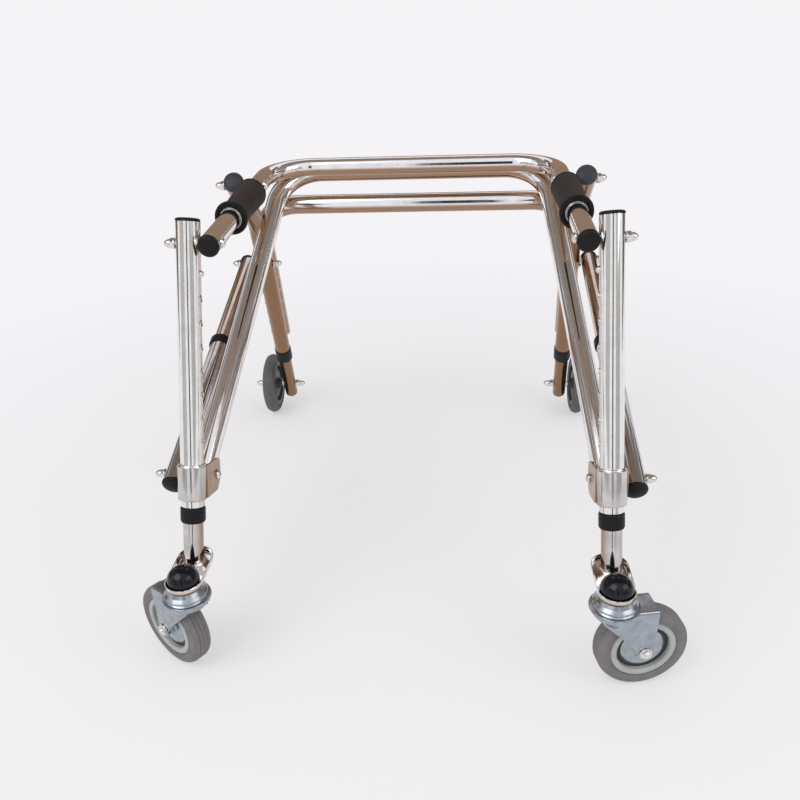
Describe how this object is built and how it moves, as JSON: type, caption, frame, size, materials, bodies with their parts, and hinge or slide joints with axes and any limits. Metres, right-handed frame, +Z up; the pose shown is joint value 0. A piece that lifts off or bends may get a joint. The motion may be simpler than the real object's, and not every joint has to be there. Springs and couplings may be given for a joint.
{
  "type": "pediatric walker",
  "caption": "Folding reverse walker for a child: chrome tube frame with foam handle grips, telescopic legs, swivelling front wheels and fixed rear wheels.",
  "frame": {"origin": "on the floor under the middle of the overall box, in the plane of left-right symmetry", "axes": "+Z up, +Y from the open front towards the closed rear, +X towards the left hand of a child who faces the open front"},
  "size_m": [0.6249, 0.7531, 0.4848],
  "materials": {
    "chrome_tube": "polished chrome",
    "bolt_steel": "bright plated",
    "zinc_fork": "bright zinc plated pressed sheet",
    "black_plastic": "moulded, semi-matt",
    "black_cover": "glossy",
    "grip_foam": "soft foam rubber, matt",
    "grey_tyre": "matt grey rubber",
    "hub_plastic": "matt moulded"
  },
  "bodies": {
    "frame": {"handle_rail": "chrome_tube", "diagonal_frame": "chrome_tube", "left_post_tube": "chrome_tube", "left_post_cap": "black_plastic", "left_front_bush": "black_plastic", "left_post_bracket": "chrome_tube", "left_post_bolt": "bolt_steel", "left_lower_bolt": "bolt_steel", "left_rail_plug": "black_plastic", "left_grip": "grip_foam", "left_rear_pivot_bolt": "bolt_steel", "right_post_tube": "chrome_tube", "right_post_cap": "black_plastic", "right_front_bush": "black_plastic", "right_post_bracket": "chrome_tube", "right_post_bolt": "bolt_steel", "right_lower_bolt": "bolt_steel", "right_rail_plug": "black_plastic", "right_grip": "grip_foam", "right_rear_pivot_bolt": "bolt_steel"},
    "rear_frame": {"rear_cross_frame": "chrome_tube", "left_rear_leg_tube": "chrome_tube", "left_rear_leg_plug": "black_plastic", "left_rear_bush": "black_plastic", "left_brace_stub": "bolt_steel", "right_rear_leg_tube": "chrome_tube", "right_rear_leg_plug": "black_plastic", "right_rear_bush": "black_plastic", "right_brace_stub": "bolt_steel"},
    "left_front_leg": {"left_front_inner_leg": "chrome_tube", "left_caster_cover": "black_cover"},
    "left_front_snap": {"left_front_button": "bolt_steel"},
    "left_caster": {"left_caster_fork": "zinc_fork", "left_caster_axle": "bolt_steel"},
    "left_caster_wheel": {"left_caster_tyre": "grey_tyre", "left_caster_hub": "hub_plastic"},
    "left_rear_leg": {"left_rear_inner_leg": "chrome_tube", "left_rear_axle": "bolt_steel"},
    "left_rear_snap": {"left_rear_button": "bolt_steel"},
    "left_rear_wheel": {"left_rear_tyre": "grey_tyre", "left_rear_hub": "hub_plastic"},
    "left_brace_lower": {"left_brace_sleeve": "chrome_tube", "left_brace_plug": "black_plastic"},
    "left_brace_upper": {"left_brace_rod": "chrome_tube"},
    "right_front_leg": {"right_front_inner_leg": "chrome_tube", "right_caster_cover": "black_cover"},
    "right_front_snap": {"right_front_button": "bolt_steel"},
    "right_caster": {"right_caster_fork": "zinc_fork", "right_caster_axle": "bolt_steel"},
    "right_caster_wheel": {"right_caster_tyre": "grey_tyre", "right_caster_hub": "hub_plastic"},
    "right_rear_leg": {"right_rear_inner_leg": "chrome_tube", "right_rear_axle": "bolt_steel"},
    "right_rear_snap": {"right_rear_button": "bolt_steel"},
    "right_rear_wheel": {"right_rear_tyre": "grey_tyre", "right_rear_hub": "hub_plastic"},
    "right_brace_lower": {"right_brace_sleeve": "chrome_tube", "right_brace_plug": "black_plastic"},
    "right_brace_upper": {"right_brace_rod": "chrome_tube"}
  },
  "joints": [
    {"name": "rear_fold", "type": "hinge", "parent": "frame", "child": "rear_frame", "pos_m": [0, 0.00456, 0.46873], "axis": [-1, 0, 0], "range_deg": [0, 45]},
    {"name": "left_front_leg_slide", "type": "slide", "parent": "frame", "child": "left_front_leg", "axis": [0.0488, -0.2945, -0.9544], "range_m": [0, 0.1524]},
    {"name": "left_front_button_press", "type": "slide", "parent": "left_front_leg", "child": "left_front_snap", "axis": [0.9988, 0.0144, 0.0467], "range_m": [0, 0.004], "stiffness_N_per_m": 900},
    {"name": "left_caster_swivel", "type": "hinge", "parent": "left_front_leg", "child": "left_caster", "pos_m": [0.2286, -0.34974, 0.05], "axis": [0, 0, 1], "continuous": true},
    {"name": "left_caster_roll", "type": "hinge", "parent": "left_caster", "child": "left_caster_wheel", "pos_m": [0.26198, -0.34325, 0.05], "axis": [-0.1908, 0.9816, 0], "continuous": true},
    {"name": "left_rear_leg_slide", "type": "slide", "parent": "rear_frame", "child": "left_rear_leg", "axis": [0.0715, 0.5286, -0.8459], "range_m": [0, 0.1524]},
    {"name": "left_rear_button_press", "type": "slide", "parent": "left_rear_leg", "child": "left_rear_snap", "axis": [-0.9974, 0.0379, -0.0606], "range_m": [0, 0.004], "stiffness_N_per_m": 900},
    {"name": "left_rear_wheel_roll", "type": "hinge", "parent": "left_rear_leg", "child": "left_rear_wheel", "pos_m": [0.28008, 0.32247, 0.054], "axis": [1, 0, 0], "continuous": true},
    {"name": "left_brace_swing", "type": "hinge", "parent": "frame", "child": "left_brace_lower", "pos_m": [0.25664, -0.24646, 0.19798], "axis": [-1, 0, 0], "range_deg": [0, 3.25]},
    {"name": "left_brace_slide", "type": "slide", "parent": "left_brace_lower", "child": "left_brace_upper", "axis": [0.0094, -0.9495, -0.3137], "range_m": [0, 0.1536]},
    {"name": "right_front_leg_slide", "type": "slide", "parent": "frame", "child": "right_front_leg", "axis": [-0.0488, -0.2945, -0.9544], "range_m": [0, 0.1524]},
    {"name": "right_front_button_press", "type": "slide", "parent": "right_front_leg", "child": "right_front_snap", "axis": [-0.9988, 0.0144, 0.0467], "range_m": [0, 0.004], "stiffness_N_per_m": 900},
    {"name": "right_caster_swivel", "type": "hinge", "parent": "right_front_leg", "child": "right_caster", "pos_m": [-0.2286, -0.34974, 0.05], "axis": [0, 0, 1], "continuous": true},
    {"name": "right_caster_roll", "type": "hinge", "parent": "right_caster", "child": "right_caster_wheel", "pos_m": [-0.25635, -0.33009, 0.05], "axis": [-0.5779, -0.8161, 0], "continuous": true},
    {"name": "right_rear_leg_slide", "type": "slide", "parent": "rear_frame", "child": "right_rear_leg", "axis": [-0.0715, 0.5286, -0.8459], "range_m": [0, 0.1524]},
    {"name": "right_rear_button_press", "type": "slide", "parent": "right_rear_leg", "child": "right_rear_snap", "axis": [0.9974, 0.0379, -0.0606], "range_m": [0, 0.004], "stiffness_N_per_m": 900},
    {"name": "right_rear_wheel_roll", "type": "hinge", "parent": "right_rear_leg", "child": "right_rear_wheel", "pos_m": [-0.28008, 0.32247, 0.054], "axis": [1, 0, 0], "continuous": true},
    {"name": "right_brace_swing", "type": "hinge", "parent": "frame", "child": "right_brace_lower", "pos_m": [-0.25664, -0.24646, 0.19798], "axis": [-1, 0, 0], "range_deg": [0, 3.25]},
    {"name": "right_brace_slide", "type": "slide", "parent": "right_brace_lower", "child": "right_brace_upper", "axis": [-0.0094, -0.9495, -0.3137], "range_m": [0, 0.1536]}
  ],
  "couplings": [
    {"joint": "left_brace_swing", "follows": "rear_fold", "ratio": 0.0713},
    {"joint": "left_brace_slide", "follows": "rear_fold", "m_per_rad": 0.1954},
    {"joint": "right_brace_swing", "follows": "rear_fold", "ratio": 0.0713},
    {"joint": "right_brace_slide", "follows": "rear_fold", "m_per_rad": 0.1954}
  ]
}
